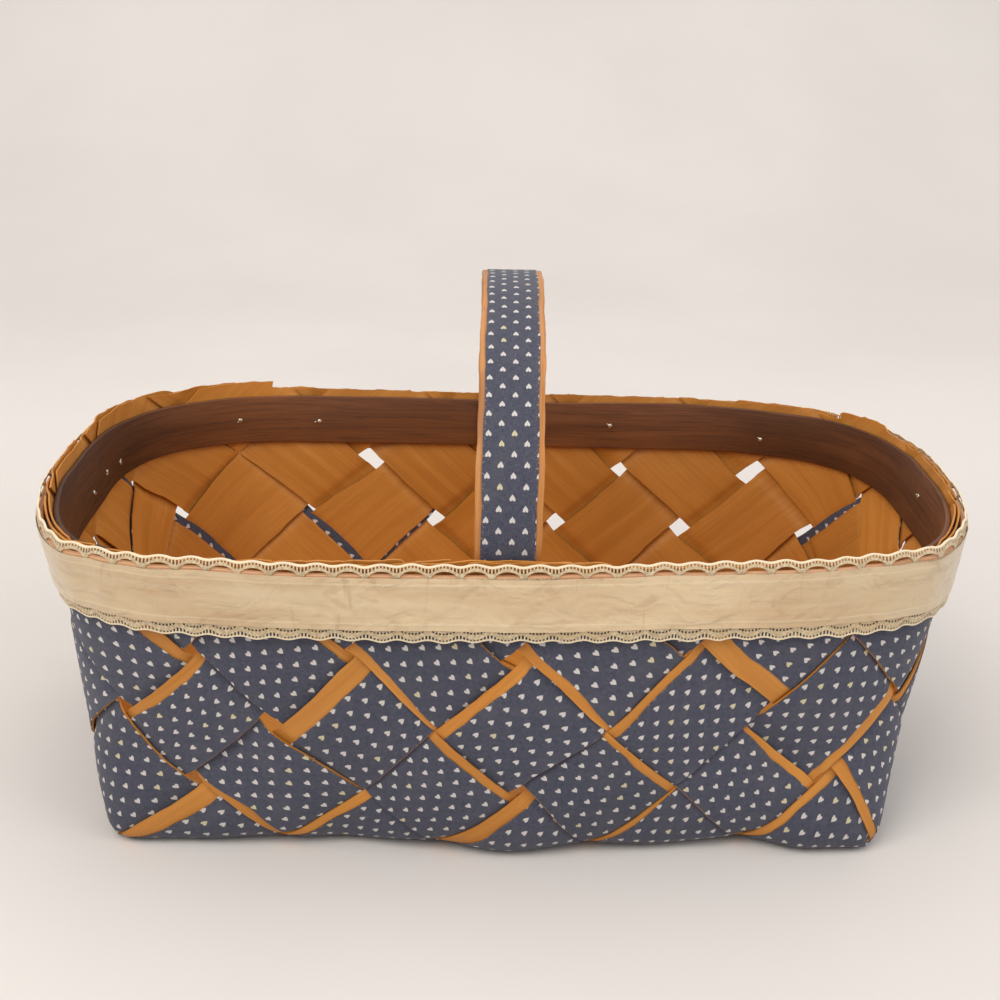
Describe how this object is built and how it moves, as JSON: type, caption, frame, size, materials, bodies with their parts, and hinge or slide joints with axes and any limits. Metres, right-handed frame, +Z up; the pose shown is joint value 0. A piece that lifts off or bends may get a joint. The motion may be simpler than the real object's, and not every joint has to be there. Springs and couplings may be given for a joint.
{
  "type": "plaited splint basket",
  "caption": "Oblong bias-plaited splint basket with fabric-faced splints, a flared hooped rim under ribbon and lace, and a fixed arched handle.",
  "frame": {"origin": "centre of the bounding box, on the plane that the base rests on", "axes": "+X along the long side of the rim, +Y across it in the plane of the handle, +Z up"},
  "size_m": [0.4134, 0.2578, 0.226],
  "materials": {
    "veneer": "bare thin veneer, satin",
    "calico": "printed cotton, matt",
    "hoop": "dark stained, worn satin",
    "ribbon": "satin weave, soft sheen",
    "lace": "cotton lace, matt",
    "handle": "oiled, satin",
    "nail": "dull steel"
  },
  "bodies": {
    "root": {"splint_rising_01": "veneer", "splint_rising_02": "veneer", "splint_rising_03": "veneer", "splint_rising_04": "veneer", "splint_rising_05": "veneer", "splint_rising_06": "veneer", "splint_rising_07": "veneer", "splint_rising_08": "veneer", "calico_rising_01": "calico", "calico_rising_02": "calico", "calico_rising_03": "calico", "calico_rising_04": "calico", "calico_rising_05": "calico", "calico_rising_06": "calico", "calico_rising_07": "calico", "calico_rising_08": "calico", "splint_falling_01": "veneer", "splint_falling_02": "veneer", "splint_falling_03": "veneer", "splint_falling_04": "veneer", "splint_falling_05": "veneer", "splint_falling_06": "veneer", "splint_falling_07": "veneer", "splint_falling_08": "veneer", "calico_falling_01": "calico", "calico_falling_02": "calico", "calico_falling_03": "calico", "calico_falling_04": "calico", "calico_falling_05": "calico", "calico_falling_06": "calico", "calico_falling_07": "calico", "calico_falling_08": "calico", "inner_hoop": "hoop", "outer_hoop": "hoop", "ribbon": "ribbon", "upper_lace": "lace", "lower_lace": "lace", "handle": "handle", "handle_calico": "calico", "rim_nail_01": "nail", "rim_nail_02": "nail", "rim_nail_03": "nail", "rim_nail_04": "nail", "rim_nail_05": "nail", "rim_nail_06": "nail", "rim_nail_07": "nail", "rim_nail_08": "nail", "rim_nail_09": "nail", "rim_nail_10": "nail", "rim_nail_11": "nail", "rim_nail_12": "nail", "handle_tack_1": "nail", "handle_tack_2": "nail", "handle_tack_3": "nail", "handle_tack_4": "nail"}
  },
  "joints": []
}
